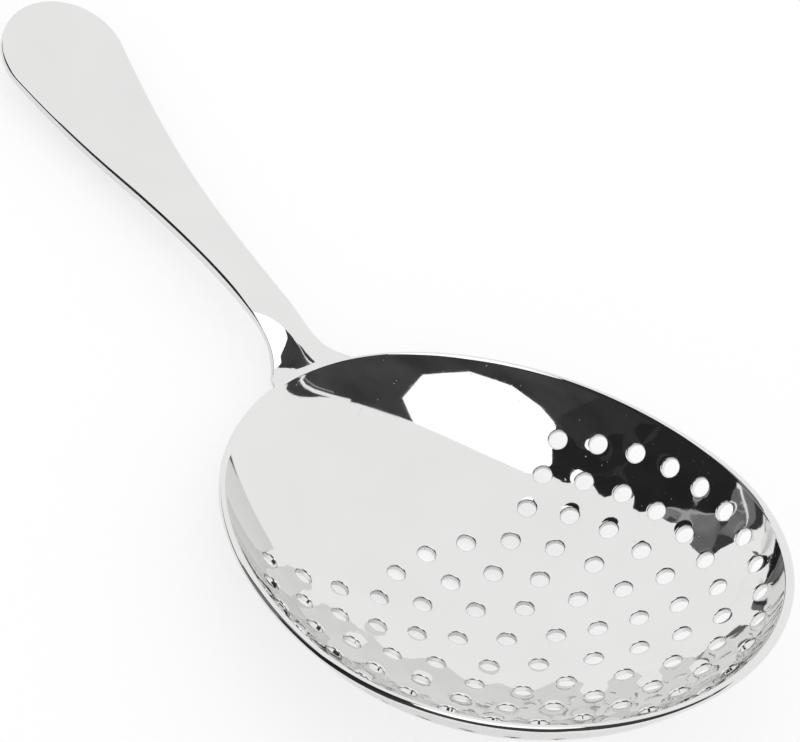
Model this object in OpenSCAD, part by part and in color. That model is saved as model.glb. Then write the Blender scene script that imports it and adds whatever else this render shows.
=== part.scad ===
// Julep strainer: an egg-shaped dish with punched holes and a spoon-like handle,
// pressed from one piece of sheet steel. It lies as it comes to rest on a table,
// on the round underside of its bowl, with the handle clear of the surface.

/* [Bowl] */
// Width of the bowl across the outside of its rim
bowl_w = 80; // [74:0.5:90]
// Reach of the rim towards the handle, from the widest place of the bowl
bowl_reach = 51.7; // [46:0.1:60]
// Depth that the round dish alone reaches at the rim
dish_depth = 13.8; // [10:0.1:18]
// Extra depth from the wall that turns up at the rim
wall_rise = 3.8; // [2:0.1:6]
// How late the wall turns up: higher is closer to the rim
wall_turn = 9; // [6:1:14]
// How far the lowest place lies towards the handle from the widest place
low_shift = 1; // [0:0.1:3]
// Sheet thickness at the floor of the bowl
floor_t = 1; // [0.8:0.1:1.5]
// Width of the flat lip on the rim
lip_w = 1.2; // [0.9:0.1:1.6]
// Height of the upright edge of the lip
lip_edge = 0.8; // [0.4:0.1:1]
// How far the lip stands out from the wall below it
lip_out = 0.4; // [0.2:0.1:0.6]

/* [Holes] */
// Diameter of each punched hole
hole_d = 2.8; // [2:0.1:3.4]
// Distance from the middle hole to the first ring, along the sheet
first_ring = 7.4; // [6:0.1:8]
// Number of rings around the middle hole
ring_count = 6; // [3:1:6]
// Innermost ring that leaves out the holes towards the handle
first_cut_ring = 4; // [2:1:6]
// Half angle of the plain wedge towards the handle
plain_half_angle = 42; // [20:1:60]
// How far the middle hole lies towards the handle from the widest place
pattern_shift = 0.9; // [0:0.1:2]
// Radius that draws the flat rings inwards as the sheet becomes a dish
draw_r = 57; // [50:1:80]
// Plain sheet between the last ring of holes and the lip, at the sides of the bowl
plain_rim = 1.5; // [1:0.1:4]

/* [Neck] */
// Width of the neck at its narrowest
neck_w = 6.9; // [6:0.1:9]
// Extra half width where the neck leaves the rim
root_flare = 3.9; // [2:0.1:5]
// Distance over which that extra width dies away
root_run = 2.7; // [2:0.1:4]
// Thickness of the neck
neck_t = 2.2; // [1.6:0.1:2.6]
// How much higher the middle of the neck's top is than its edges
neck_crown = 1.5; // [0:0.1:1.6]
// Distance from the rim over which the crown grows
crown_start = 3; // [2:0.5:6]
// Distance from the rim at which the crown has nearly died away
crown_run = 14; // [8:1:20]
// Form of the crown across the neck: 2 is evenly round, and lower is more like a ridge
crown_form = 1.6; // [1.4:0.1:2.4]
// Rise of the neck from the plane of the rim, in degrees
neck_rise = 41.5; // [30:0.5:50]
// Straight length before the neck bends over
neck_straight = 3.5; // [2:0.1:6]
// Radius of the bend at the top of the neck
neck_bend_r = 17; // [12:1:30]

/* [Handle] */
// Length of the handle from the rim to its tip, along the sheet
handle_len = 80.6; // [76:0.1:100]
// Radius of the round tip
tip_r = 10.3; // [9:0.1:12]
// Thickness at the tip
tip_t = 1.2; // [0.8:0.1:1.6]
// Slope of the middle of the handle from the plane of the rim, in degrees
handle_rise = 11; // [6:1:16]
// Slope of the end of the handle from the plane of the rim, in degrees
tip_rise = 24.5; // [19:0.5:28]
// Straight length between the neck's bend and the upward sweep
handle_straight = 31.5; // [20:0.5:36]
// Radius of the upward sweep
sweep_r = 120; // [80:5:160]
// Angle of each flank to the centre line, in degrees
flank_angle = 9.9; // [9:0.1:12]
// Radius that blends the neck into the flanks
flank_r = 195; // [100:5:200]
// Softening of the edges
edge_soft = 0.4; // [0.1:0.05:0.5]

/* [Resting] */
// Tilt at which the strainer balances on the bowl, handle end down, in degrees
rest_tilt = 17; // [8:0.1:22]

/* [Hidden] */

rim_r = bowl_w / 2;
bowl_depth = dish_depth + wall_rise;
rim_z = floor_t + bowl_depth;

// Divisions: around the rim, across the neck, up the wall, and the wall levels that the neck meets
around = 96;
across = 12;
levels = 12;
side = 2;
body_steps = 34;
tip_steps = 10;
last_tip_angle = 87;

root_half = neck_w / 2 + root_flare;
root_angle = asin(root_half / rim_r);
rim_angles = [
    for (j = [0 : across]) root_angle * (2 * j / across - 1),
    for (j = [1 : around - across - 1]) root_angle + (360 - 2 * root_angle) * j / (around - across)
];

// Height of the dish at level t, from 0 at the lowest place to 1 at the rim, as a share of the depth
function dish(t) = (dish_depth * pow(t, 2) + wall_rise * pow(t, wall_turn)) / bowl_depth;

// Stretch of a level towards the handle, which grows from round at the floor to the egg-shaped rim
function stretch(t, inset) = 1 + ((bowl_reach - inset) / (rim_r - inset) - 1) * t;

// A point of the bowl at angle a and level t, on a skin with its own inset from the rim, lowest and highest z
function bowl_point(a, t, inset, low, high) = [
    low_shift * (1 - t) + (rim_r - inset) * t * cos(a) * (cos(a) > 0 ? stretch(t, inset) : 1),
    (rim_r - inset) * t * sin(a),
    low + (high - low) * dish(t)
];
function inside_point(a, t) = bowl_point(a, t, lip_w, floor_t, rim_z);
function outside_point(a, t) = bowl_point(a, t, lip_out, 0, rim_z - lip_edge);
function lip_point(a, z) = bowl_point(a, 1, 0, 0, z);

// The level of the bowl's inside at a place in plan, found by repeated correction
function level_at(x, y, t = 0, n = 16) = n == 0 ? t :
    let (dx = x - low_shift * (1 - t))
    let (k = dx > 0 ? stretch(t, lip_w) : 1)
    level_at(x, y, (t + norm([dx / k, y]) / (rim_r - lip_w)) / 2, n - 1);

function inside_z(x, y) = floor_t + bowl_depth * dish(level_at(x, y));

// Centre line of the handle's top, as [x, z, slope] at a length s from the rim
bend_len = neck_bend_r * (neck_rise - handle_rise) * PI / 180;
sweep_len = sweep_r * (tip_rise - handle_rise) * PI / 180;
bend_from = neck_straight;
middle_from = bend_from + bend_len;
sweep_from = middle_from + handle_straight;
end_from = sweep_from + sweep_len;

function ahead(from, s) = [
    from[0] + s * cos(from[2]),
    from[1] + s * sin(from[2]),
    from[2]
];
function turn(from, r, slope) = [
    from[0] + abs(r * (sin(slope) - sin(from[2]))),
    from[1] + abs(r * (cos(slope) - cos(from[2]))),
    slope
];
rim_end = [bowl_reach, rim_z, neck_rise];
bend_start = ahead(rim_end, neck_straight);
middle_start = turn(bend_start, neck_bend_r, handle_rise);
sweep_start = ahead(middle_start, handle_straight);
end_start = turn(sweep_start, sweep_r, tip_rise);

function centre(s) =
    s < bend_from ? ahead(rim_end, s) :
    s < middle_from ? turn(bend_start, neck_bend_r, neck_rise - (s - bend_from) / neck_bend_r * 180 / PI) :
    s < sweep_from ? ahead(middle_start, s - middle_from) :
    s < end_from ? turn(sweep_start, sweep_r, handle_rise + (s - sweep_from) / sweep_r * 180 / PI) :
    ahead(end_start, s - end_from);

// Outline of the handle in the flat: neck, blend, straight flank and round tip
tip_centre = handle_len - tip_r;
flank_meet = tip_centre - (tip_r - neck_w / 2 * cos(flank_angle)) / sin(flank_angle);
blend_from = flank_meet - flank_r * tan(flank_angle / 2);
flank_from = blend_from + flank_r * sin(flank_angle);
tip_from = tip_centre - tip_r * sin(flank_angle);

function side_w(s) =
    s < blend_from ? neck_w / 2 :
    s < flank_from ? neck_w / 2 + flank_r - sqrt(pow(flank_r, 2) - pow(s - blend_from, 2)) :
    neck_w / 2 + (s - flank_meet) * tan(flank_angle);
function half_w(s) = side_w(s) + root_flare * exp(-s / root_run);

// Stations along the handle, as [length, half width, angle of the edge's outward normal]
function body_station(s) =
    let (step = 0.05)
    [s, half_w(s), -atan((half_w(s + step) - half_w(s)) / step)];
stations = [
    for (i = [1 : body_steps]) body_station(tip_from * pow(i / body_steps, 1.5)),
    for (i = [1 : tip_steps])
        let (a = -flank_angle + (last_tip_angle + flank_angle) * i / tip_steps)
        [tip_centre + tip_r * sin(a), tip_r * cos(a), a]
];

function thickness(s) = neck_t + (tip_t - neck_t) * s / handle_len;

// Depth of the top's edges below its middle, and the softening that leaves a least height of side
least_edge = 0.8;
least_side = 0.2;
function crown(s) = min(
    neck_crown * (1 - exp(-s / crown_start)) * exp(-pow(s / crown_run, 3)),
    thickness(s) - least_edge
);
function soft(s) = min(edge_soft, (thickness(s) - crown(s) - least_side) / 2);

// A point of the handle at length s, y across and d below the top face
function handle_point(s, y, d) =
    let (c = centre(s))
    [c[0] + d * sin(c[2]), y, c[1] - d * cos(c[2])];

// One section of the handle with softened edges: top, one side, underside, other side
function section(st) =
    let (t = thickness(st[0]))
    let (c = crown(st[0]))
    let (e = soft(st[0]))
    let (s = st[0] - e * sin(st[2]))
    let (w = st[1] - e * cos(st[2]))
    let (shares = [for (j = [0 : across]) 2 * j / across - 1])
    concat(
        [for (u = shares) handle_point(s, w * u, c * pow(abs(u), crown_form))],
        [for (d = [c + e, t - e]) handle_point(st[0], st[1], d)],
        [for (u = shares) handle_point(s, -w * u, t)],
        [for (d = [t - e, c + e]) handle_point(st[0], -st[1], d)]
    );

// Points: inside of the bowl, outside of the bowl, edge of the lip, then the handle's sections
function level_t(k) = sin(90 * k / levels);
sheet_points = concat(
    [inside_point(0, 0)],
    [for (k = [1 : levels]) for (a = rim_angles) inside_point(a, level_t(k))],
    [outside_point(0, 0)],
    [for (k = [1 : levels]) for (a = rim_angles) outside_point(a, level_t(k))],
    [for (z = [rim_z - lip_edge, rim_z]) for (a = rim_angles) lip_point(a, z)],
    [for (st = stations) each section(st)]
);
loop = 2 * (across + 1 + side);
outside_from = 1 + levels * around;
lip_level = levels + 2;
handle_from = 2 * outside_from + 2 * around;

function in_i(k, j) = k == 0 ? 0 : 1 + (k - 1) * around + j % around;
function out_i(k, j) = outside_from + in_i(k, j);
function root_i(q) =
    q <= across ? out_i(lip_level, q) :
    q <= across + side ? out_i(lip_level - (q - across), across) :
    q <= 2 * across + side + 1 ? out_i(lip_level - side - 1, 2 * across + side + 1 - q) :
    out_i(lip_level - (loop - q), 0);
function hand_i(i, q) = i == 0 ? root_i(q % loop) : handle_from + (i - 1) * loop + q % loop;
function under_root(k, j) = k >= lip_level - side - 1 && j < across;

last = len(stations);
sheet_faces = concat(
    [for (j = [0 : around - 1]) [0, in_i(1, j + 1), in_i(1, j)]],
    [for (k = [1 : levels - 1]) for (j = [0 : around - 1])
        [in_i(k, j), in_i(k, j + 1), in_i(k + 1, j + 1), in_i(k + 1, j)]],
    [for (j = [0 : around - 1])
        [in_i(levels, j), in_i(levels, j + 1), out_i(lip_level, j + 1), out_i(lip_level, j)]],
    [for (j = [0 : around - 1]) [outside_from, out_i(1, j), out_i(1, j + 1)]],
    [for (k = [1 : lip_level - 1]) for (j = [0 : around - 1]) if (!under_root(k, j))
        [out_i(k, j), out_i(k + 1, j), out_i(k + 1, j + 1), out_i(k, j + 1)]],
    [for (i = [0 : last - 1]) for (q = [0 : loop - 1])
        [hand_i(i, q), hand_i(i, q + 1), hand_i(i + 1, q + 1), hand_i(i + 1, q)]],
    [for (j = [0 : across - 1])
        let (b = 2 * across + side + 1 - j)
        [hand_i(last, j), hand_i(last, j + 1), hand_i(last, b - 1), hand_i(last, b)]],
    [[for (q = [across : across + side + 1]) hand_i(last, q)]],
    [[for (q = [loop - side - 1 : loop]) hand_i(last, q)]]
);

// Holes: rings of six, twelve, eighteen and so on, punched in the flat and drawn in with the dish
last_ring_r = rim_r - lip_w - plain_rim - hole_d / 2;
last_ring = draw_r * asin(last_ring_r / draw_r) * PI / 180;
ring_pitch = (last_ring - first_ring) / (ring_count - 1);
function ring_radius(i) = i == 0 ? 0 : draw_r * sin((first_ring + (i - 1) * ring_pitch) / draw_r * 180 / PI);
function from_handle(a) = min(a, 360 - a);
hole_places = [
    for (i = [0 : ring_count])
        let (count = max(6 * i, 1))
        for (k = [0 : count - 1])
            let (a = 360 * k / count)
            if (i < first_cut_ring || from_handle(a) > plain_half_angle)
                [pattern_shift + ring_radius(i) * cos(a), ring_radius(i) * sin(a)]
];

module punch(x, y) {
    reach = 0.5;
    sx = (inside_z(x + reach, y) - inside_z(x - reach, y)) / (2 * reach);
    sy = (inside_z(x, y + reach) - inside_z(x, y - reach)) / (2 * reach);
    translate([x, y, inside_z(x, y)])
        rotate([0, atan(norm([sx, sy])), atan2(-sy, -sx)])
        cylinder(h = 4 * floor_t, d = hole_d, center = true, $fn = 24);
}

// Resting place: turned about the cross axis, lowest point on the table, middle of its length at x = 0
function turned(p) = [
    p[0] * cos(rest_tilt) + p[2] * sin(rest_tilt),
    p[1],
    p[2] * cos(rest_tilt) - p[0] * sin(rest_tilt)
];
turned_x = [for (p = sheet_points) turned(p)[0]];
turned_z = [for (p = sheet_points) turned(p)[2]];
rest_shift = [-(min(turned_x) + max(turned_x)) / 2, 0, -min(turned_z)];

module strainer() {
    color("gainsboro")
    translate(rest_shift)
    rotate([0, rest_tilt, 0])
    difference() {
        polyhedron(points = sheet_points, faces = sheet_faces, convexity = 6);
        for (p = hole_places) punch(p[0], p[1]);
    }
}

strainer();
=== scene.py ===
import math

import bpy
import numpy as np
from mathutils import Matrix, Vector
from mathutils.geometry import delaunay_2d_cdt


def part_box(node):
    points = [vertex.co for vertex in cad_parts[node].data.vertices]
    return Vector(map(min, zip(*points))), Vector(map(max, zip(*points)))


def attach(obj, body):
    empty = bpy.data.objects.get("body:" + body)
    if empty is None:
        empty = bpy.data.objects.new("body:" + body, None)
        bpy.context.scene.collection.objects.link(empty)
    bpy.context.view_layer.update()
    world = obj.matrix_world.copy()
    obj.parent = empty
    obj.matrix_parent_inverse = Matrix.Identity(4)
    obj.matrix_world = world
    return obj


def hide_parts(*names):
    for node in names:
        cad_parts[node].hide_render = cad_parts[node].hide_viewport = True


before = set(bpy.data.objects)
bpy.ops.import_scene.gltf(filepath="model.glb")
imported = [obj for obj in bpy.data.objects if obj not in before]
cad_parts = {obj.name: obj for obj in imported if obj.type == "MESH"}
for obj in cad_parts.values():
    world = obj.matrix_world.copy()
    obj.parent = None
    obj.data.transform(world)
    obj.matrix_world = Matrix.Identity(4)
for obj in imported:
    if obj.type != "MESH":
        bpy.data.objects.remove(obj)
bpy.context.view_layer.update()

# The strainer's looks: one closed mesh of the pressed sheet, with rounded edges at the lip, the
# holes and the handle, a polished steel material, and the studio that the steel reflects.

MM = 0.001

# Bowl, in millimetres, as in the part's source. Its own frame lies flat on the rim's plane:
# x towards the handle from the bowl's widest place, z up from the outside of the floor.
BOWL_W = 80.0
BOWL_REACH = 51.7
DISH_DEPTH = 13.8
WALL_RISE = 3.8
WALL_TURN = 9
LOW_SHIFT = 1.0
FLOOR_T = 1.0
LIP_W = 1.2
FRONT_LIP_W = 0.4
LIP_EDGE = 0.8
LIP_OUT = 0.4

# Holes
HOLE_R = 1.4
FIRST_RING = 7.4
RING_COUNT = 6
RING_GROWTH = 6
FIRST_CUT_RING = 4
PLAIN_HALF_ANGLE = 42
PATTERN_SHIFT = 0.9
DRAW_R = 57.0
PLAIN_RIM = 1.5

# Neck and handle
NECK_W = 6.9
ROOT_FLARE = 3.9
ROOT_RUN = 2.7
NECK_T = 2.2
NECK_CROWN = 1.5
CROWN_START = 3.0
CROWN_RUN = 14.0
CROWN_DROP = 3
CROWN_FORM = 1.6
NECK_RISE = 41.5
NECK_STRAIGHT = 3.5
NECK_BEND_R = 17.0
HANDLE_LEN = 80.6
TIP_R = 10.3
TIP_T = 1.2
HANDLE_RISE = 11.0
TIP_RISE = 24.5
HANDLE_STRAIGHT = 31.5
SWEEP_R = 120.0
FLANK_ANGLE = math.radians(9.9)
FLANK_R = 195.0
LEAST_EDGE = 0.8

REST_TILT = math.radians(17)

# Holes as punched: how far the sheet is drawn in at each hole and over what distance that dies
# away, how far it rolls over into the hole and how deep, and the small break on the underside
DENT_D = 0.11
DENT_RUN = 0.8
ROLL_W = 0.25
ROLL_D = 0.25
HOLE_BREAK = 0.16

# Lip: how far its rounding reaches down the wall inside, and in over the top from either side as
# shares of its width. Its outer edge is nearly a bevel, which grows from nothing at the neck
WALL_CUT = 0.6
ROOT_WALL_CUT = 0.35
ROOT_CUT_ANGLE = math.radians(17)
LIP_INNER_SHARE = 0.3
LIP_TOP_SHARE = 0.6
LIP_EDGE_CUT = 0.66
LIP_LOW_CUT = 0.12
BEVEL = 0.4
BEVEL_GROWTH = math.radians(14)

# Radius of the handle's edges at lengths from the rim, and its largest share of the edge's height
EDGE_LENGTHS = (0, 9, 17, 42, 62)
EDGE_RADII = (0.12, 0.12, 0.6, 0.6, 0.3)
EDGE_SHARE = 0.47

# Height of the neck's side at its root, where the underside bows up to it, and its growth
SIDE_LOW = 0.8
SIDE_GROWTH = 0.1
SIDE_BOW = 2

# The neck's root: its top turns up from the lip in a small fillet, and its underside meets the
# outside of the bowl along a shallow dip, given as shares of the way down from the lip
ROOT_FILLET = 0.7
ROOT_DIP = 0.02
ROOT_END_DIP = 0.002

# The outside skin is this much higher than the part's facets, so that its curve stays within them,
# and the outline this much inside their box
UNDER_CLEAR = 0.07
EDGE_CLEAR = 0.012

# Mesh steps, in millimetres or as counts
TILE = 1.0
HOLE_STEPS = 28
DENT_ROWS = (0.3, 0.7)
ROLL_STEPS = 4
CORNER_STEPS = 6
ROOT_STEPS = 24
RIM_STEPS = 330
FILLET_STEPS = 8
HANDLE_STEPS = 110
TIP_STEPS = 26
LEVEL_STEPS = 400
PLACE_ROUNDS = 24
MEET_ROUNDS = 8

# How the sections crowd towards the neck's root, and how near the last one comes to the tip
CROWDING = 1.4
LAST_TURN = math.radians(89.3)

# Rounds of loose points between the holes: where the first lies and how many points they have,
# then how far all of them keep from the holes and the rim, in tiles, and how far the rows around
# the holes keep from the rim, in millimetres
FIRST_ROUND = 0.35
ROUND_CROWDING = 1.12
LEAST_ROUND = 5
HOLE_GAP = 0.5
UNDER_GAP = 0.6
RIM_GAP = 0.55
RIM_MARGIN = 0.3
ROW_GAP = 0.3
ROW_MARGIN = 0.2

# How near two points lie that count as one, on the sheet's plan and on a card
SAME_POINT = 1e-6
SAME_PLACE = 1e-4

RIM_R = BOWL_W / 2
BOWL_DEPTH = DISH_DEPTH + WALL_RISE
RIM_Z = FLOOR_T + BOWL_DEPTH
ROOT_HALF = NECK_W / 2 + ROOT_FLARE
ROOT_ANGLE = math.asin(ROOT_HALF / RIM_R)


def unit(vectors):
    """The same vectors with length 1."""
    return vectors / np.linalg.norm(vectors, axis=-1, keepdims=True)


class Skin:
    """One side of the bowl's sheet. A place on it is (u, v): the level t from 0 at the floor to 1
    at the rim, at angle a from the handle, as t cos a and t sin a."""

    def __init__(self, inset, front, low, high):
        self.radius = RIM_R - inset
        self.longer = (BOWL_REACH - front) / self.radius - 1
        self.low, self.high = low, high
        levels = np.linspace(0, 1, LEVEL_STEPS)
        climb = np.hypot(np.diff(self.height(levels)), self.radius * np.diff(levels))
        self.levels, self.lengths = levels, np.append(0, np.cumsum(climb))
        self.holes = self.axes = np.zeros((0, 3))

    def height(self, t):
        climbed = DISH_DEPTH * t**2 + WALL_RISE * t**WALL_TURN
        return self.low + (self.high - self.low) * climbed / BOWL_DEPTH

    def point(self, u, v):
        t = np.hypot(u, v)
        ahead = self.radius * u * np.where(u > 0, 1 + self.longer * t, 1)
        return np.stack([LOW_SHIFT * (1 - t) + ahead, self.radius * v, self.height(t)], -1)

    def drawn(self, points):
        """Points of the skin, moved by the shallow dish that the punch draws in at each hole."""
        gap = np.linalg.norm(points[..., None, :] - self.holes, axis=-1)
        depth = DENT_D * np.exp(-np.maximum(gap - HOLE_R, 0) / DENT_RUN)
        return points - depth @ self.axes

    def surface(self, u, v):
        return self.drawn(self.point(u, v))

    def normal(self, u, v):
        """Upward normals, from small steps to either side."""
        step = 1e-4
        along = self.surface(u + step, v) - self.surface(u - step, v)
        across = self.surface(u, v + step) - self.surface(u, v - step)
        return unit(np.cross(along, across))

    def place(self, points):
        """The (u, v) of points that lie on the skin, by repeated correction of their level."""
        x, y = points[..., 0], points[..., 1]
        t = np.hypot(x, y) / self.radius
        for _ in range(PLACE_ROUNDS):
            ahead = x - LOW_SHIFT * (1 - t)
            long = np.where(ahead > 0, 1 + self.longer * t, 1)
            t = (t + np.hypot(ahead / long, y) / self.radius) / 2
        return ahead / long / self.radius, y / self.radius

    def meet(self, start, direction):
        """Where lines from start along one direction meet the skin."""
        points = start
        for _ in range(MEET_ROUNDS):
            found = self.point(*self.place(points))
            points = points + ((found - points) @ direction)[..., None] * direction
        return points

    def unrolled(self, u, v):
        """Places in a flat plan in which steps are about as long as on the skin."""
        t = np.hypot(u, v)
        point = self.point(u, v)
        grown = np.interp(t, self.levels, self.lengths) / np.maximum(self.radius * t, 1e-9)
        return np.stack([(point[..., 0] - LOW_SHIFT) * grown, point[..., 1] * grown], -1)


INSIDE = Skin(LIP_W, FRONT_LIP_W, FLOOR_T, RIM_Z)
OUTSIDE = Skin(LIP_OUT, LIP_OUT, UNDER_CLEAR, RIM_Z - LIP_EDGE)
# Only the top edge of this one is used, as the rim's outline
RIM = Skin(EDGE_CLEAR, EDGE_CLEAR, 0, RIM_Z)


class Sheet:
    """The mesh while it is made: points with their normals, and faces of point numbers."""

    def __init__(self):
        self.points, self.normals, self.faces = [], [], []

    def add(self, points, normals):
        """Adds points and gives their numbers in the same arrangement."""
        first = len(self.points)
        self.points += points.reshape(-1, 3).tolist()
        self.normals += unit(normals).reshape(-1, 3).tolist()
        return np.arange(first, len(self.points)).reshape(points.shape[:-1])

    def strip(self, rows):
        """Quads between rows of point numbers, each of which closes on itself."""
        count = len(rows[0])
        for one, two in zip(rows, rows[1:]):
            for j in range(count):
                k = (j + 1) % count
                self.faces.append((one[j], one[k], two[k], two[j]))


sheet = Sheet()


def hole_centres():
    """Rings of six, twelve, eighteen and so on around a middle hole, as flat rings that the
    dish draws inwards, without those in the plain wedge towards the handle."""
    last_r = RIM_R - LIP_W - PLAIN_RIM - HOLE_R
    pitch = (DRAW_R * math.asin(last_r / DRAW_R) - FIRST_RING) / (RING_COUNT - 1)
    places = [(PATTERN_SHIFT, 0.0)]
    for ring in range(1, RING_COUNT + 1):
        radius = DRAW_R * math.sin((FIRST_RING + (ring - 1) * pitch) / DRAW_R)
        count = RING_GROWTH * ring
        for k in range(count):
            angle = 360 * k / count
            if ring < FIRST_CUT_RING or min(angle, 360 - angle) > PLAIN_HALF_ANGLE:
                a = math.radians(angle)
                places.append((PATTERN_SHIFT + radius * math.cos(a), radius * math.sin(a)))
    flat = np.array([(x, y, 0.0) for x, y in places])
    return INSIDE.point(*INSIDE.place(flat))


def add_hole(centre):
    """The wall of one hole with its rolled edges. Gives the numbers of its loop on the inside
    and of its loop on the outside."""
    axis = INSIDE.normal(*INSIDE.place(centre))
    side = unit(np.cross(axis, (0.0, 1.0, 0.0)))
    turn = 2 * np.pi * np.arange(HOLE_STEPS) / HOLE_STEPS
    out = np.cos(turn)[:, None] * side + np.sin(turn)[:, None] * np.cross(axis, side)
    rows = []
    for skin, width, depth, way in (
        (INSIDE, ROLL_W, ROLL_D, 1),
        (OUTSIDE, HOLE_BREAK, HOLE_BREAK, -1),
    ):
        made = []
        for phi in np.linspace(0, np.pi / 2, ROLL_STEPS + 1):
            radius = HOLE_R + width * (1 - math.sin(phi))
            on_skin = skin.meet(centre + radius * out, axis)
            points = skin.drawn(on_skin) - way * depth * (1 - math.cos(phi)) * axis
            local = way * skin.normal(*skin.place(on_skin))
            normals = width * math.cos(phi) * local - depth * math.sin(phi) * out
            made.append(sheet.add(points, normals))
        rows += made[::way]
    sheet.strip(rows)
    return rows[0], rows[-1]


def tile(skin, upwards, outline, loops, centres):
    """Fills a skin between its outline and the loops of the holes with triangles. outline and
    loops are point numbers."""
    known = np.concatenate([outline, *loops])
    u, v = skin.place(np.array([sheet.points[i] for i in known]))
    rounds = []
    for k in range(int(skin.lengths[-1] / TILE)):
        length = TILE * (k + FIRST_ROUND)
        t = np.interp(length, skin.lengths, skin.levels)
        count = max(LEAST_ROUND, round(2 * math.pi * length * ROUND_CROWDING / TILE))
        a = 2 * np.pi * (np.arange(count) + (k % 2) / 2) / count
        rounds.append(np.stack([t * np.cos(a), t * np.sin(a)], -1))
    inner = np.concatenate(rounds)
    spots = skin.point(inner[:, 0], inner[:, 1])
    gap = np.linalg.norm(spots[:, None] - centres[None], axis=-1).min(axis=1)
    edge = np.array([sheet.points[i] for i in outline])
    edge_turn = np.arctan2(v[: len(outline)], u[: len(outline)])
    edge_level = np.hypot(u[: len(outline)], v[: len(outline)])

    def inside(places, margin):
        """Which places lie within the outline by at least a margin in millimetres."""
        turns = np.arctan2(places[:, 1], places[:, 0])
        limit = np.interp(turns, edge_turn, edge_level, period=2 * np.pi)
        return np.hypot(*places.T) < limit - margin / skin.lengths[-1]

    rim_gap = np.linalg.norm(spots[:, None] - edge[None], axis=-1).min(axis=1)
    wide = HOLE_R + ROLL_W + HOLE_GAP * TILE + (DENT_ROWS[-1] if upwards else UNDER_GAP * FLOOR_T)
    clear = (gap > wide) & (rim_gap > RIM_GAP * TILE)
    inner = inner[clear & inside(inner, RIM_MARGIN * TILE)]
    brinks = np.array(sheet.points)[np.array(loops)]
    for row in DENT_ROWS if upwards else ():
        grown = centres[:, None] + (brinks - centres[:, None]) * (1 + row / (HOLE_R + ROLL_W))
        ring = np.stack(skin.place(grown.reshape(-1, 3)), -1)
        rim_gap = np.linalg.norm(grown.reshape(-1, 1, 3) - edge[None], axis=-1).min(axis=1)
        inner = np.concatenate([inner, ring[(rim_gap > ROW_GAP) & inside(ring, ROW_MARGIN)]])
    new = sheet.add(
        skin.surface(inner[:, 0], inner[:, 1]),
        (1 if upwards else -1) * skin.normal(inner[:, 0], inner[:, 1]),
    )
    numbers = np.concatenate([known, new])
    flat = skin.unrolled(np.append(u, inner[:, 0]), np.append(v, inner[:, 1]))
    edges, first = [], 0
    owner = np.full(len(numbers), -1)
    for which, loop in enumerate([outline, *loops]):
        size = len(loop)
        edges += [(first + j, first + (j + 1) % size) for j in range(size)]
        owner[first : first + size] = which
        first += size
    _, _, faces, origins, _, _ = delaunay_2d_cdt(
        [Vector(p) for p in flat.tolist()], edges, [], 0, SAME_POINT, True
    )
    for face in faces:
        ids = [origins[i][0] for i in face]
        owners = {owner[i] for i in ids}
        in_hole = len(owners) == 1 and owner[ids[0]] > 0
        middle = np.array([[u[ids].mean(), v[ids].mean()]]) if owners == {0} else None
        if not in_hole and (middle is None or inside(middle, 0)[0]):
            face = [numbers[i] for i in ids]
            sheet.faces.append(face if upwards else face[::-1])


def corner(before, at, after, pull):
    """Rows of points that round a corner, with the direction along them. A pull of 1 gives a plain
    curve, and a small one keeps it near the straight line from before to after, as a bevel is."""
    rows, ways = [], []
    for turn in np.linspace(0, np.pi, CORNER_STEPS + 1):
        k = (1 - math.cos(turn)) / 2
        over = (1 - k) ** 2 * before + 2 * pull * k * (1 - k) * at + k**2 * after
        under = (1 - k) ** 2 + 2 * pull * k * (1 - k) + k**2
        over_rate = -2 * (1 - k) * before + 2 * pull * (1 - 2 * k) * at + 2 * k * after
        under_rate = -2 * (1 - k) + 2 * pull * (1 - 2 * k) + 2 * k
        rows.append(over / under)
        ways.append(over_rate * under - over * under_rate)
    return rows, ways


def towards(start, end, distance):
    """The point at a distance from start on the way to end."""
    return start + distance * unit(end - start)


def lip_rows(angles):
    """Rows of the lip from the inside skin to the outside skin, and the direction across them."""
    u, v = np.cos(angles), np.sin(angles)
    from_handle = np.abs((angles + np.pi) % (2 * np.pi) - np.pi)
    soft = np.exp(-((from_handle / ROOT_CUT_ANGLE) ** 2))
    wall_cut = (WALL_CUT + (ROOT_WALL_CUT - WALL_CUT) * soft)[:, None]
    share = np.clip((from_handle - ROOT_ANGLE) / BEVEL_GROWTH, 0, 1)
    full = (share**2 * (3 - 2 * share))[:, None]
    edge_cut = LIP_LOW_CUT + (LIP_EDGE_CUT - LIP_LOW_CUT) * full

    def short_of(skin, cut):
        """Points of a skin a little short of its edge."""
        step = 0.01
        run = skin.surface((1 - step) * u, (1 - step) * v) - skin.surface(u, v)
        t = 1 - step * np.squeeze(cut) / np.linalg.norm(run, axis=-1)
        return skin.surface(t * u, t * v)

    inner = INSIDE.surface(u, v)
    rim = RIM.point(u, v)
    below = rim - (0, 0, LIP_EDGE)
    wall = OUTSIDE.point(u, v)
    width = np.linalg.norm(rim - inner, axis=-1, keepdims=True)
    inner_cut = LIP_INNER_SHARE * width
    top_cut = LIP_LOW_CUT + (LIP_TOP_SHARE * width - LIP_LOW_CUT) * full
    rows, ways = [], []
    for before, at, after, pull in (
        (short_of(INSIDE, wall_cut), inner, towards(inner, rim, inner_cut), 1.0),
        (towards(rim, inner, top_cut), rim, towards(rim, below, edge_cut), BEVEL),
        (towards(below, rim, LIP_LOW_CUT), below, towards(below, wall, LIP_LOW_CUT), 1.0),
        (towards(wall, below, LIP_LOW_CUT), wall, short_of(OUTSIDE, LIP_LOW_CUT), 1.0),
    ):
        more = corner(before, at, after, pull)
        rows, ways = rows + more[0], ways + more[1]
    return np.array(rows), np.array(ways)


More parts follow.
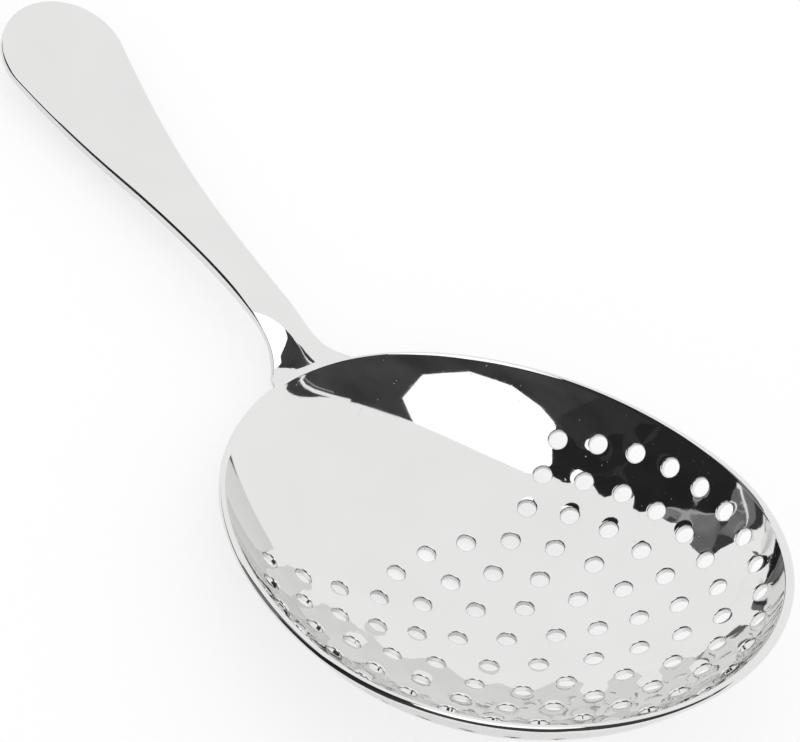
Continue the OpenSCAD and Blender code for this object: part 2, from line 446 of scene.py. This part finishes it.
def ahead(place, length):
    """A place (x, z, slope) of the handle's centre line, moved straight on by a length."""
    x, z, slope = place
    return x + length * math.cos(slope), z + length * math.sin(slope), slope


def bent(place, radius, slope):
    """The same, moved along an arc until it has a slope."""
    x, z, was = place
    return (
        x + abs(radius * (math.sin(slope) - math.sin(was))),
        z + abs(radius * (math.cos(slope) - math.cos(was))),
        slope,
    )


# Centre line of the handle's top in the plane of symmetry: lengths from the rim at which its
# straights and arcs start, and their first places
NECK_SLOPE, MIDDLE_SLOPE, END_SLOPE = (math.radians(d) for d in (NECK_RISE, HANDLE_RISE, TIP_RISE))
BEND_FROM = NECK_STRAIGHT
MIDDLE_FROM = BEND_FROM + NECK_BEND_R * (NECK_SLOPE - MIDDLE_SLOPE)
SWEEP_FROM = MIDDLE_FROM + HANDLE_STRAIGHT
END_FROM = SWEEP_FROM + SWEEP_R * (END_SLOPE - MIDDLE_SLOPE)
RIM_END = (BOWL_REACH, RIM_Z, NECK_SLOPE)
BEND_START = ahead(RIM_END, NECK_STRAIGHT)
MIDDLE_START = bent(BEND_START, NECK_BEND_R, MIDDLE_SLOPE)
SWEEP_START = ahead(MIDDLE_START, HANDLE_STRAIGHT)
END_START = bent(SWEEP_START, SWEEP_R, END_SLOPE)


def centre_line(s):
    """Place and slope of the handle's top at a length from the rim."""
    if s < BEND_FROM:
        return ahead(RIM_END, s)
    if s < MIDDLE_FROM:
        return bent(BEND_START, NECK_BEND_R, NECK_SLOPE - (s - BEND_FROM) / NECK_BEND_R)
    if s < SWEEP_FROM:
        return ahead(MIDDLE_START, s - MIDDLE_FROM)
    if s < END_FROM:
        return bent(SWEEP_START, SWEEP_R, MIDDLE_SLOPE + (s - SWEEP_FROM) / SWEEP_R)
    return ahead(END_START, s - END_FROM)


# Outline of the handle in the flat: the middle of its round tip, the place where its flanks would
# meet the neck's sides, and the lengths at which one form passes into the next
TIP_CENTRE = HANDLE_LEN - TIP_R
FLANK_MEET = TIP_CENTRE - (TIP_R - NECK_W / 2 * math.cos(FLANK_ANGLE)) / math.sin(FLANK_ANGLE)
BLEND_FROM = FLANK_MEET - FLANK_R * math.tan(FLANK_ANGLE / 2)
FLANK_FROM = BLEND_FROM + FLANK_R * math.sin(FLANK_ANGLE)
TIP_FROM = TIP_CENTRE - TIP_R * math.sin(FLANK_ANGLE)


def half_width(s):
    """Half the width of the neck and handle before the tip."""
    flare = ROOT_FLARE * math.exp(-s / ROOT_RUN)
    if s < BLEND_FROM:
        return NECK_W / 2 + flare
    if s < FLANK_FROM:
        return NECK_W / 2 + FLANK_R - math.sqrt(FLANK_R**2 - (s - BLEND_FROM) ** 2) + flare
    return NECK_W / 2 + (s - FLANK_MEET) * math.tan(FLANK_ANGLE) + flare


def thickness(s):
    """Thickness of the neck and handle, which falls evenly towards the tip."""
    return NECK_T + (TIP_T - NECK_T) * s / HANDLE_LEN


def crown(s):
    """How far the middle of the top stands above its edges."""
    grown = 1 - math.exp(-s / CROWN_START)
    kept = math.exp(-((s / CROWN_RUN) ** CROWN_DROP))
    return min(NECK_CROWN * grown * kept, thickness(s) - LEAST_EDGE)


def section(s, half, lean):
    """One section of the handle: points and normals of its top, side, underside and other side.
    half is the half width and lean the angle of the edge's outward normal in the flat."""
    rise, thick = crown(s), thickness(s)
    foot = min(thick, rise + SIDE_LOW + SIDE_GROWTH * s)
    edge = min(np.interp(s, EDGE_LENGTHS, EDGE_RADII), EDGE_SHARE * (foot - rise))
    flat = max(half - edge * math.cos(lean), edge)
    slant = math.atan(CROWN_FORM * rise / flat)

    # Down the side: how far in from the edge, how far down, and the normal's parts outward and
    # down. Between its two corners lie as many points as in a corner, to match the lip's rows
    parts = []
    for phi in np.linspace(slant, np.pi / 2, CORNER_STEPS + 1):
        deep = rise + edge * (math.cos(slant) - math.cos(phi))
        parts.append((edge * (1 - math.sin(phi)), deep, math.sin(phi), -math.cos(phi)))
    for deep in np.linspace(deep, foot - edge, CORNER_STEPS + 3)[1:-1]:
        parts.append((0, deep, 1, 0))
    for phi in np.linspace(0, np.pi / 2, CORNER_STEPS + 1):
        deep = foot - edge + edge * math.sin(phi)
        parts.append((edge * (1 - math.cos(phi)), deep, math.cos(phi), math.sin(phi)))
    back, down, out_part, down_part = np.array(parts).T
    y_edge = half - back * math.cos(lean)
    s_edge = s - back * math.sin(lean)

    # Around the section: over the top to one side, down it, back along the underside, and up
    share = np.linspace(-1, 1, ROOT_STEPS + 1)
    side = slice(1, -1)
    none, flank = 0 * share, 0 * down[side]
    y_top = max(half - edge * (1 - math.sin(slant)) * math.cos(lean), 0)
    top = rise * np.abs(share) ** CROWN_FORM
    bottom = thick - (thick - foot) * np.abs(share) ** SIDE_BOW
    s_top, s_bottom = none + s_edge[0], none + s_edge[-1]
    lengths = np.concatenate([s_top, s_edge[side], s_bottom, s_edge[side][::-1]])
    y = np.concatenate([y_top * share, y_edge[side], -y_edge[-1] * share, -y_edge[side][::-1]])
    depths = np.concatenate([top, down[side], bottom, down[side][::-1]])
    sign = np.concatenate([none, 1 + flank, none, -1 + flank])
    outward = np.concatenate([none, out_part[side], none, out_part[side][::-1]])
    downward = np.concatenate([none - 1, down_part[side], none + 1, down_part[side][::-1]])
    step = 0.01
    grow = (crown(s + step) - crown(s)) / step
    crowned = CROWN_FORM * rise / flat * np.sign(share) * np.abs(share) ** (CROWN_FORM - 1)
    bowed = SIDE_BOW * (thick - foot) / flat * np.sign(-share) * np.abs(share) ** (SIDE_BOW - 1)
    tilt_along = np.concatenate([grow * np.abs(share) ** CROWN_FORM, flank, none, flank])
    tilt_across = np.concatenate([crowned, flank, bowed, flank])
    across = np.array([0, 1.0, 0])
    points, normals = [], []
    for i, length in enumerate(lengths):
        x, z, slope = centre_line(length)
        forward = np.array([math.cos(slope), 0, math.sin(slope)])
        under = np.array([math.sin(slope), 0, -math.cos(slope)])
        points.append(np.array([x, 0, z]) + y[i] * across + depths[i] * under)
        normals.append(
            downward[i] * under
            + outward[i] * (sign[i] * math.cos(lean) * across + math.sin(lean) * forward)
            + tilt_along[i] * forward
            + tilt_across[i] * across
        )
    return np.array(points), unit(np.array(normals))


def stations():
    """Lengths along the handle with the half width and the lean of the edge there."""
    step = 0.01
    made = []
    for i in range(HANDLE_STEPS + 1):
        s = ROOT_FILLET + (TIP_FROM - ROOT_FILLET) * (i / HANDLE_STEPS) ** CROWDING
        made.append((s, half_width(s), -math.atan((half_width(s + step) - half_width(s)) / step)))
    for i in range(1, TIP_STEPS + 1):
        a = -FLANK_ANGLE + (LAST_TURN + FLANK_ANGLE) * i / TIP_STEPS
        made.append((TIP_CENTRE + TIP_R * math.sin(a), TIP_R * math.cos(a), a))
    return made


# Rows of the lip down to the one from which the neck springs
TOP_ROWS = CORNER_STEPS + 2


def add_lip(angles):
    """The lip's rows all round, of which the lower ones stop at the neck's root. Gives the numbers
    of its points by row and angle."""
    rows, ways = lip_rows(angles)
    normals = np.cross(ways, np.roll(rows, -1, axis=1) - np.roll(rows, 1, axis=1))
    numbers = np.full(rows.shape[:2], -1)
    whole = np.arange(len(angles))
    stopped = np.setdiff1d(whole, np.arange(1, ROOT_STEPS))
    for i in range(len(rows)):
        columns = whole if i < TOP_ROWS else stopped
        numbers[i, columns] = sheet.add(rows[i, columns], normals[i, columns])
    for i in range(len(rows) - 1):
        for j in range(0 if i + 1 < TOP_ROWS else ROOT_STEPS, len(angles)):
            k = (j + 1) % len(angles)
            corners = ((i, j), (i + 1, j), (i + 1, k), (i, k))
            sheet.faces.append([numbers[place] for place in corners])
    return numbers


def add_dip(root, numbers):
    """The dip in the outside skin under the neck, as point numbers across the root."""
    bow = np.sqrt(np.clip(1 - (root[1:-1] / ROOT_ANGLE) ** 2, 0, 1))
    high, low = 1 - ROOT_END_DIP, 1 - ROOT_DIP
    t = high - (high - low) * bow
    u, v = t * np.cos(root[1:-1]), t * np.sin(root[1:-1])
    dip = sheet.add(OUTSIDE.point(u, v), -OUTSIDE.normal(u, v))
    return np.concatenate([[numbers[-1, 0]], dip, [numbers[-1, ROOT_STEPS]]])


def add_handle(root, numbers, dip):
    """The neck and handle: rows that turn up from the lip in a small fillet, then the sections
    and the face at the end of the tip."""
    down, up = numbers[TOP_ROWS:-1, ROOT_STEPS], numbers[TOP_ROWS:-1, 0][::-1]
    first = np.concatenate([numbers[TOP_ROWS - 1, : ROOT_STEPS + 1], down, dip[::-1], up])
    sections = [section(*place) for place in stations()]
    start_points, start_normals = np.array(sheet.points)[first], np.array(sheet.normals)[first]
    end_points, end_normals = sections[0]
    bend_points = (start_points + end_points) / 2
    bend_points[: ROOT_STEPS + 1] = RIM.point(np.cos(root), np.sin(root))
    rows = [first]
    for k in np.arange(1, FILLET_STEPS) / FILLET_STEPS:
        points = (1 - k) ** 2 * start_points + 2 * k * (1 - k) * bend_points + k**2 * end_points
        rows.append(sheet.add(points, (1 - k) * start_normals + k * end_normals))
    rows += [sheet.add(points, normals) for points, normals in sections]
    sheet.strip(rows[::-1])

    # Face at the end of the tip, in bands from its top to its underside
    last = rows[-1]
    half = len(last) // 2
    right, left = last[ROOT_STEPS : half + 1], np.append(last[0], last[:half:-1])
    sheet.faces.append([left[1], right[1], *last[ROOT_STEPS::-1]])
    for j in range(1, len(right) - 1):
        sheet.faces.append([left[j], left[j + 1], right[j + 1], right[j]])
    sheet.faces.append(last[half : half + ROOT_STEPS + 1][::-1])


def build_sheet():
    """The whole pressed sheet as one closed mesh, in the bowl's own frame in millimetres."""
    centres = hole_centres()
    INSIDE.holes, INSIDE.axes = centres, INSIDE.normal(*INSIDE.place(centres))
    root = ROOT_ANGLE * np.linspace(-1, 1, ROOT_STEPS + 1)
    rest = ROOT_ANGLE + (2 * np.pi - 2 * ROOT_ANGLE) * np.arange(1, RIM_STEPS) / RIM_STEPS
    numbers = add_lip(np.concatenate([root, rest]))
    dip = add_dip(root, numbers)
    loops = [add_hole(centre) for centre in centres]
    tile(INSIDE, True, numbers[0], [upper for upper, _ in loops], centres)
    outline = np.concatenate([dip, numbers[-1, ROOT_STEPS + 1 :]])
    tile(OUTSIDE, False, outline, [lower for _, lower in loops], centres)
    add_handle(root, numbers, dip)


def to_rest(points):
    """From the bowl's own frame in millimetres to the resting frame in metres. The tip of the
    handle is the part's foremost place, and the top of the rim's back edge the highest."""
    c, s = math.cos(REST_TILT), math.sin(REST_TILT)
    turn = np.array([[c, 0, s], [0, 1, 0], [-s, 0, c]])
    _, high = (np.array(p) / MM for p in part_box("strainer"))
    turned = points @ turn.T
    top = turn @ (-RIM_R, 0, RIM_Z)
    shift = (high[0] - EDGE_CLEAR / 2 - turned[:, 0].max(), 0, high[2] - top[2])
    return (turned + shift) * MM, turn


build_sheet()
points, turn = to_rest(np.array(sheet.points))
mesh = bpy.data.meshes.new("strainer_sheet")
mesh.from_pydata(points.tolist(), [], [[int(i) for i in face] for face in sheet.faces])
mesh.polygons.foreach_set("use_smooth", [True] * len(mesh.polygons))
mesh.normals_split_custom_set_from_vertices((np.array(sheet.normals) @ turn.T).tolist())
mesh.update()
strainer = bpy.data.objects.new("strainer_sheet", mesh)
bpy.context.scene.collection.objects.link(strainer)


# Steel: its lowest and highest tone, and its roughness where it is clean, hazy and dusty
STEEL_LOW = (0.77, 0.77, 0.765)
STEEL_HIGH = (0.79, 0.79, 0.785)
POLISH = 0.03
HAZE = 0.055
DUST = 0.3

# Depth of its hairlines and of the sheet's slow waves, and the size of each noise, in metres
HAIRLINE_DEPTH = 0.0000006
WAVE_DEPTH = 0.00004
TONE_SIZE = 0.012
HAZE_SIZE = 0.018
SPECK_SIZE = 0.0004
HAIRLINE_SIZE = 0.00035
WAVE_SIZE = 0.015

# How many times longer than wide a hairline is, and how far both kinds are turned, in degrees
HAIRLINE_STRETCH = 60
ALONG_TURN = 4
ACROSS_TURN = -12

# Levels of each noise from which it starts and at which it has its full effect
TONE_LEVELS = (0.3, 0.7)
HAZE_LEVELS = (0.35, 0.75)
SPECK_LEVELS = (0.82, 0.86)
ALONG_LEVELS = (0.62, 0.78)
ACROSS_LEVELS = (0.66, 0.80)


def ranged(tree, value, levels, low, high):
    """A value that goes from low to high between two levels of another."""
    node = tree.nodes.new("ShaderNodeMapRange")
    names = ("From Min", "From Max", "To Min", "To Max")
    for name, number in zip(names, (*levels, low, high)):
        node.inputs[name].default_value = number
    tree.links.new(value, node.inputs["Value"])
    return node.outputs[0]


def larger(tree, one, two):
    """The larger of two values."""
    node = tree.nodes.new("ShaderNodeMath")
    node.operation = "MAXIMUM"
    tree.links.new(one, node.inputs[0])
    tree.links.new(two, node.inputs[1])
    return node.outputs[0]


def steel():
    """Mirror-polished stainless steel: faint hairlines from polishing, a slight unevenness of the
    pressed sheet, a breath of haze in places, and a few specks of dust."""
    material = bpy.data.materials.new("polished_steel")
    material.use_nodes = True
    tree = material.node_tree
    nodes, links = tree.nodes, tree.links
    shader = nodes["Principled BSDF"]
    shader.inputs["Metallic"].default_value = 1
    place = nodes.new("ShaderNodeTexCoord").outputs["Object"]

    def noise(size, detail=2.0, stretch=(1, 1, 1), turn=0.0):
        """Noise with cells of a size in metres, longer along an axis where stretch is above 1."""
        mapping = nodes.new("ShaderNodeMapping")
        mapping.inputs["Rotation"].default_value = (0, 0, math.radians(turn))
        mapping.inputs["Scale"].default_value = [1 / (size * part) for part in stretch]
        texture = nodes.new("ShaderNodeTexNoise")
        texture.inputs["Scale"].default_value = 1
        texture.inputs["Detail"].default_value = detail
        links.new(place, mapping.inputs["Vector"])
        links.new(mapping.outputs[0], texture.inputs["Vector"])
        return texture.outputs["Fac"]

    def bump(height, depth, below=None):
        """A bump of a depth in metres, over another."""
        node = nodes.new("ShaderNodeBump")
        node.inputs["Distance"].default_value = depth
        links.new(height, node.inputs["Height"])
        if below:
            links.new(below, node.inputs["Normal"])
        return node.outputs[0]

    # Tone, a little uneven
    ramp = nodes.new("ShaderNodeValToRGB")
    for element, level, tone in zip(ramp.color_ramp.elements, TONE_LEVELS, (STEEL_LOW, STEEL_HIGH)):
        element.position, element.color = level, (*tone, 1)
    links.new(noise(TONE_SIZE), ramp.inputs["Fac"])
    links.new(ramp.outputs["Color"], shader.inputs["Base Color"])

    # Haze and dust
    haze = ranged(tree, noise(HAZE_SIZE, detail=4), HAZE_LEVELS, POLISH, HAZE)
    specks = ranged(tree, noise(SPECK_SIZE, detail=0), SPECK_LEVELS, POLISH, DUST)
    links.new(larger(tree, haze, specks), shader.inputs["Roughness"])

    # Hairlines along the strainer and across it, then the slow unevenness of the sheet
    lengthways = noise(HAIRLINE_SIZE, 1, (HAIRLINE_STRETCH, 1, 1), ALONG_TURN)
    crossways = noise(HAIRLINE_SIZE, 1, (1, HAIRLINE_STRETCH, 1), ACROSS_TURN)
    along = ranged(tree, lengthways, ALONG_LEVELS, 0, 1)
    across = ranged(tree, crossways, ACROSS_LEVELS, 0, 1)
    lines = bump(larger(tree, along, across), HAIRLINE_DEPTH)
    links.new(bump(noise(WAVE_SIZE, detail=1), WAVE_DEPTH, lines), shader.inputs["Normal"])
    return material


strainer.data.materials.append(steel())
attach(strainer, "root")
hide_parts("strainer")


# Studio: a white floor and dome, a nine-sided soft light overhead, and the dark end of a room with
# shelves, which only the metal's reflections see. First how bright each of them is
WHITE = 1.0
SWEEP_LIGHT = 0.9
SOFT_LIGHT = 1.4
ROOM_DARK = 0.055
ROOM_MIDDLE = 0.036
ROOM_CORNER = 0.02
SHELVES = 0.18
SHELF_SHADE = 0.05
LOW_SHADE = 0.07
SHELF_EDGE = 0.4
SHELF_BOARD = 0.3
STREAK = 1.0
THIN_STREAK = 0.35
# Brightness of the painted dark reflection: the sheet on the white floor that only the metal sees
PAINTED_REFLECTION_DARK = 0.045

# How far the dark ones' brightness varies, as shares, the scale and levels of the noise behind
# that, and how far away each layer of them stands, in metres
ROOM_UNEVEN = 0.25
CORNER_UNEVEN = 0.15
SHELVES_UNEVEN = 0.35
UNEVEN_SCALE = 3
UNEVEN_LEVELS = (0.3, 0.7)
ROOM_R = 1.5
MIDDLE_R = 1.45
CORNER_R = 1.4
STREAK_R = 1.3
LIGHT_R = 1.2

# Grid of a card and the place of the horizon on it, in degrees from overhead
CARD_STEP = 4.0
HORIZON = 89

# Painted reflections: sheets on the white floor beside the strainer, on one side, which only the
# metal's reflections see. Where the dark one starts and passes into the grey one, between which
# azimuths they lie, and how far above the white floor
DARK_SHEET_FROM = 0.08
GREY_SHEET_FROM = 0.2
REFLECTION_SHEET_TURNS = (18, 62)
REFLECTION_SHEET_HEIGHT = 0.0004

# The white floor: half its side, its tone where it lights things, and how bright the light on
# it is in the open. Then the share of its look that comes from that light, which carries the
# shadow, as the camera and as the metal sees it
FLOOR_HALF = 4.0
FLOOR_TONE = 0.9
FLOOR_LIGHT = 0.95
SHADOW_SHARE = 0.36
MIRRORED_SHARE = 0.8


def emptied(owner):
    """The node tree of a material or world, with nothing in it yet."""
    owner.use_nodes = True
    owner.node_tree.nodes.clear()
    return owner.node_tree


def mixed(tree, share, one, two):
    """A mix of two shaders, all of the first where the share is 0."""
    node = tree.nodes.new("ShaderNodeMixShader")
    for value, socket in zip((share, one, two), node.inputs):
        tree.links.new(value, socket)
    return node.outputs[0]


def show(tree, kind, shader):
    """Makes a shader the output of a tree."""
    tree.links.new(shader, tree.nodes.new(kind).inputs["Surface"])


def placed(name, points, faces, material):
    """A new object with a mesh of one material."""
    data = bpy.data.meshes.new(name)
    data.from_pydata(points, [], faces)
    data.materials.append(material)
    made = bpy.data.objects.new(name, data)
    bpy.context.scene.collection.objects.link(made)
    return made


def glow(name, strength, uneven=0.0):
    """A glowing material. Uneven is how far its strength varies from place to place, as a share."""
    material = bpy.data.materials.new(name)
    tree = emptied(material)
    emission = tree.nodes.new("ShaderNodeEmission")
    emission.inputs["Color"].default_value = (1, 1, 1, 1)
    emission.inputs["Strength"].default_value = strength
    if uneven:
        noise = tree.nodes.new("ShaderNodeTexNoise")
        noise.inputs["Scale"].default_value = UNEVEN_SCALE
        place = tree.nodes.new("ShaderNodeTexCoord").outputs["Object"]
        tree.links.new(place, noise.inputs["Vector"])
        low, high = strength * (1 - uneven), strength * (1 + uneven)
        level = ranged(tree, noise.outputs["Fac"], UNEVEN_LEVELS, low, high)
        tree.links.new(level, emission.inputs["Strength"])
    show(tree, "ShaderNodeOutputMaterial", emission.outputs[0])
    return material


def within(outline, spot):
    """Whether a place lies within a closed outline, by counting the edges to its right."""
    (x, y), crossings = spot, 0
    for (x0, y0), (x1, y1) in zip(outline, outline[1:] + outline[:1]):
        if (y0 > y) != (y1 > y) and x < x0 + (y - y0) * (x1 - x0) / (y1 - y0):
            crossings += 1
    return crossings % 2 == 1


def card(name, outline, strength, radius, uneven=0.0, lights=False):
    """A card on a dome around the strainer. Its outline is given as seen from the strainer, in
    degrees from overhead towards +X and towards +Y."""
    low, high = np.min(outline, axis=0), np.max(outline, axis=0)
    grid = [
        (x, y)
        for x in np.arange(low[0], high[0], CARD_STEP)
        for y in np.arange(low[1], high[1], CARD_STEP)
        if within(outline, (x, y))
    ]
    count = len(outline)
    sides = [(i, (i + 1) % count) for i in range(count)]
    flat, _, faces, _, _, _ = delaunay_2d_cdt(
        [Vector(p) for p in [*outline, *grid]], sides, [], 0, SAME_PLACE, True
    )
    faces = [f for f in faces if within(outline, sum((flat[i] for i in f), Vector((0, 0))) / 3)]
    points = []
    for x, y in flat:
        away, turn_to = math.radians(math.hypot(x, y)), math.atan2(y, x)
        out, up = radius * math.sin(away), radius * math.cos(away)
        points.append((out * math.cos(turn_to), out * math.sin(turn_to), up))
    made = placed(name, points, faces, glow(name, strength, uneven))
    made.visible_camera = False
    made.visible_shadow = False
    made.visible_diffuse = lights


def around(first, last, away=HORIZON):
    """Places every ten degrees from one azimuth to another, at one angle from overhead."""
    turns = (math.radians(turn) for turn in range(first, last + 1, 10))
    return [(away * math.cos(turn), away * math.sin(turn)) for turn in turns]


# The dark room begins at this edge, which goes from the handle's side round to the shelves, and
# reaches to the horizon behind it. Its corner and its shelves are shades of their own
ROOM_EDGE = [
    (-22, -45.5), (-19.1, -45.7), (-17.4, -46.8), (-16.2, -46.1), (-14.9, -44.1), (-13.8, -41.1),
    (-12.8, -36), (-12.4, -32.6), (-11, -27.9), (-9, -24.1), (-6.8, -20.1), (-3.8, -16.3),
    (0.6, -11.1), (2.9, -8.9), (7.6, -4.8),
]
CORNER_EDGE = [(17, 3.2), (25, 10), (29, 13), (34, 17), (41, 20.5), (44.7, 28.5)]
SHELF_TOP = [
    (46.3, 32.5), (49.8, 36), (53.8, 37.6), (58.9, 38.8), (59.2, 43.6), (61.2, 46.6), (62, 52.1),
    (62.9, 56.5), (64.3, 59.6),
]
SHELF_END = [(67.2, 58.4), (73.8, 49.8)]
SHELF_FOOT = [
    (78.6, 41.8), (82, 34), (75.8, 30.2), (73.9, 25.5), (68.5, 22.7), (65.5, 19.1), (63.5, 16.2),
    (58.8, 19.4), (53.9, 22.1), (50.1, 23.6), (47.1, 25.3),
]
ROOM_BACK = [*around(45, 95), *around(100, 150, away=72), *around(160, 210, away=50), (-34, -43)]
ROOM_OUTLINE = [*ROOM_EDGE, *CORNER_EDGE, *SHELF_TOP, *ROOM_BACK]
MIDDLE_OUTLINE = [(10, 36), (19, 5), (30, 20), (26, 75), (10, 75)]
CORNER_OUTLINE = [*CORNER_EDGE, *SHELF_TOP, *around(45, 72), (23, 62)]
SHELF_OUTLINE = [CORNER_EDGE[-1], *SHELF_TOP, *SHELF_END, *SHELF_FOOT]
card("dark_room", ROOM_OUTLINE, ROOM_DARK, ROOM_R, ROOM_UNEVEN)
card("room_middle", MIDDLE_OUTLINE, ROOM_MIDDLE, MIDDLE_R, CORNER_UNEVEN)
card("room_corner", CORNER_OUTLINE, ROOM_CORNER, CORNER_R, CORNER_UNEVEN)
card("shelves", SHELF_OUTLINE, SHELVES, ROOM_R, SHELVES_UNEVEN)

# Shades and lit edges of the shelves
SHADE_OUTLINE = [(66.5, 29.5), (67.5, 22.5), (73.9, 25.5), (75.8, 30.2), (73, 33.5)]
LOW_OUTLINE = [(46, 29), (47.6, 25.4), (51, 23.6), (50.5, 28)]
EDGE_OUTLINE = [
    (44.9, 28.6), (46.5, 32.4), (50, 35.8), (53.9, 37.4), (58.9, 38.6), (58.8, 37.7), (54.1, 36.5),
    (50.5, 34.9), (47.2, 31.9), (45.6, 28.6),
]
BOARD_OUTLINE = [(64.5, 36), (70, 43), (75, 47.5), (75.8, 46.9), (70.8, 42.3), (65.3, 35.4)]
card("shelf_shade", SHADE_OUTLINE, SHELF_SHADE, CORNER_R)
card("low_shade", LOW_OUTLINE, LOW_SHADE, CORNER_R)
card("shelf_edge", EDGE_OUTLINE, SHELF_EDGE, CORNER_R)
card("shelf_board", BOARD_OUTLINE, SHELF_BOARD, CORNER_R)

# Two bright streaks at the dark room's near end, and the soft light
STREAK_OUTLINE = [
    (-21.9, -35.2), (-20.2, -37.4), (-18, -36.6), (-15.7, -33.5), (-12.1, -27.2), (-9.1, -21.8),
    (-8.1, -22.4), (-10.9, -28), (-14.5, -34.7), (-17.2, -38), (-19.8, -39.2), (-22.5, -36.8),
]
THIN_OUTLINE = [
    (-20.9, -36), (-19, -34.9), (-16.8, -32.4), (-13.1, -26.3), (-12.8, -26.6), (-16.4, -32.9),
    (-18.7, -35.4), (-20.8, -36.5),
]
LIGHT_OUTLINE = [
    (3, -8.9), (-5.9, -5.4), (-13.7, 8.2), (-11.5, 25.3), (-3, 33.9), (6, 34.7), (12.4, 31.9),
    (20.1, 21.7), (23, 6.5),
]
card("streak", STREAK_OUTLINE, STREAK, STREAK_R)
card("thin_streak", THIN_OUTLINE, THIN_STREAK, STREAK_R)
card("soft_light", LIGHT_OUTLINE, SOFT_LIGHT, LIGHT_R, lights=True)


def painted_reflection_sheet(name, near, far, strength):
    """A sheet just above the white floor beside the strainer, on one side. Only the metal's
    reflections see it. It is a painted reflection, dark or grey."""
    first, last = (math.radians(turn) for turn in REFLECTION_SHEET_TURNS)
    corners = ((near, first), (far, first), (far, last), (near, last))
    points = [(r * math.cos(turn), r * math.sin(turn), REFLECTION_SHEET_HEIGHT) for r, turn in corners]
    made = placed(name, points, [(0, 1, 2, 3)], glow(name, strength))
    made.visible_camera = made.visible_diffuse = made.visible_shadow = False


# Painted reflections: a dark sheet beside the strainer and a grey one beyond it, both on the white
# floor
painted_reflection_sheet("painted_reflection_sheet", DARK_SHEET_FROM, GREY_SHEET_FROM, PAINTED_REFLECTION_DARK)
painted_reflection_sheet("far_painted_reflection_sheet", GREY_SHEET_FROM, ROOM_R, SHELVES)


def seen(tree):
    """1 for rays from the camera, off metal and through glass, and 0 for those that give light."""
    ray = tree.nodes.new("ShaderNodeLightPath")
    total = ray.outputs["Is Camera Ray"]
    for name in ("Is Glossy Ray", "Is Transmission Ray"):
        total = larger(tree, total, ray.outputs[name])
    return total


# World: white where it is seen, and a little darker where it lights things
world = bpy.data.worlds.new("studio")
bpy.context.scene.world = world
tree = emptied(world)
dome, backdrop = (tree.nodes.new("ShaderNodeBackground") for _ in range(2))
for node, strength in ((dome, SWEEP_LIGHT), (backdrop, WHITE)):
    node.inputs["Color"].default_value = (1, 1, 1, 1)
    node.inputs["Strength"].default_value = strength
both = mixed(tree, seen(tree), dome.outputs[0], backdrop.outputs[0])
show(tree, "ShaderNodeOutputWorld", both)

# Floor: matt white where it lights things, and seen as the white backdrop with the strainer's
# shadow faintly on it. What the share of the light takes away, the glow gives back
floor_material = bpy.data.materials.new("white_floor")
tree = emptied(floor_material)
matt, lit = (tree.nodes.new("ShaderNodeBsdfDiffuse") for _ in range(2))
matt.inputs["Color"].default_value = (FLOOR_TONE, FLOOR_TONE, FLOOR_TONE, 1)
from_camera = tree.nodes.new("ShaderNodeLightPath").outputs["Is Camera Ray"]
share = ranged(tree, from_camera, (0, 1), MIRRORED_SHARE, SHADOW_SHARE)
left_over = tree.nodes.new("ShaderNodeMath")
left_over.operation = "MULTIPLY_ADD"
left_over.inputs[1].default_value = -FLOOR_LIGHT
left_over.inputs[2].default_value = WHITE
white = tree.nodes.new("ShaderNodeEmission")
both = tree.nodes.new("ShaderNodeAddShader")
tree.links.new(share, lit.inputs["Color"])
tree.links.new(share, left_over.inputs[0])
tree.links.new(left_over.outputs[0], white.inputs["Strength"])
tree.links.new(lit.outputs[0], both.inputs[0])
tree.links.new(white.outputs[0], both.inputs[1])
look = mixed(tree, seen(tree), matt.outputs[0], both.outputs[0])
show(tree, "ShaderNodeOutputMaterial", look)
corners = [(x * FLOOR_HALF, y * FLOOR_HALF, 0) for x, y in ((-1, -1), (1, -1), (1, 1), (-1, 1))]
floor = placed("floor", corners, [(0, 1, 2, 3)], floor_material)

# Camera: where it stands as seen from the point that it looks at, how it is tipped, and its lens
# and film in millimetres
CAMERA_AZIMUTH = 126.758
CAMERA_ELEVATION = 47.831
CAMERA_ROLL = 23.045
CAMERA_DISTANCE = 0.71624
CAMERA_AIM = Vector((-0.00289, -0.01236, 0.00740))
CAMERA_LENS = 210.42
CAMERA_FILM = 36
CAMERA_NEAR = 0.01

camera_data = bpy.data.cameras.new("camera")
camera_data.lens = CAMERA_LENS
camera_data.sensor_width = CAMERA_FILM
camera_data.clip_start = CAMERA_NEAR
camera = bpy.data.objects.new("camera", camera_data)
azimuth, elevation = math.radians(CAMERA_AZIMUTH), math.radians(CAMERA_ELEVATION)
back = Vector(
    (
        math.cos(azimuth) * math.cos(elevation),
        math.sin(azimuth) * math.cos(elevation),
        math.sin(elevation),
    )
)
facing = (-back).to_track_quat("-Z", "Y").to_matrix()
rolled = facing @ Matrix.Rotation(math.radians(CAMERA_ROLL), 3, "Z")
camera.matrix_world = Matrix.Translation(CAMERA_AIM + CAMERA_DISTANCE * back) @ rolled.to_4x4()
bpy.context.scene.collection.objects.link(camera)
bpy.context.scene.camera = camera
bpy.context.scene.view_settings.view_transform = "Standard"
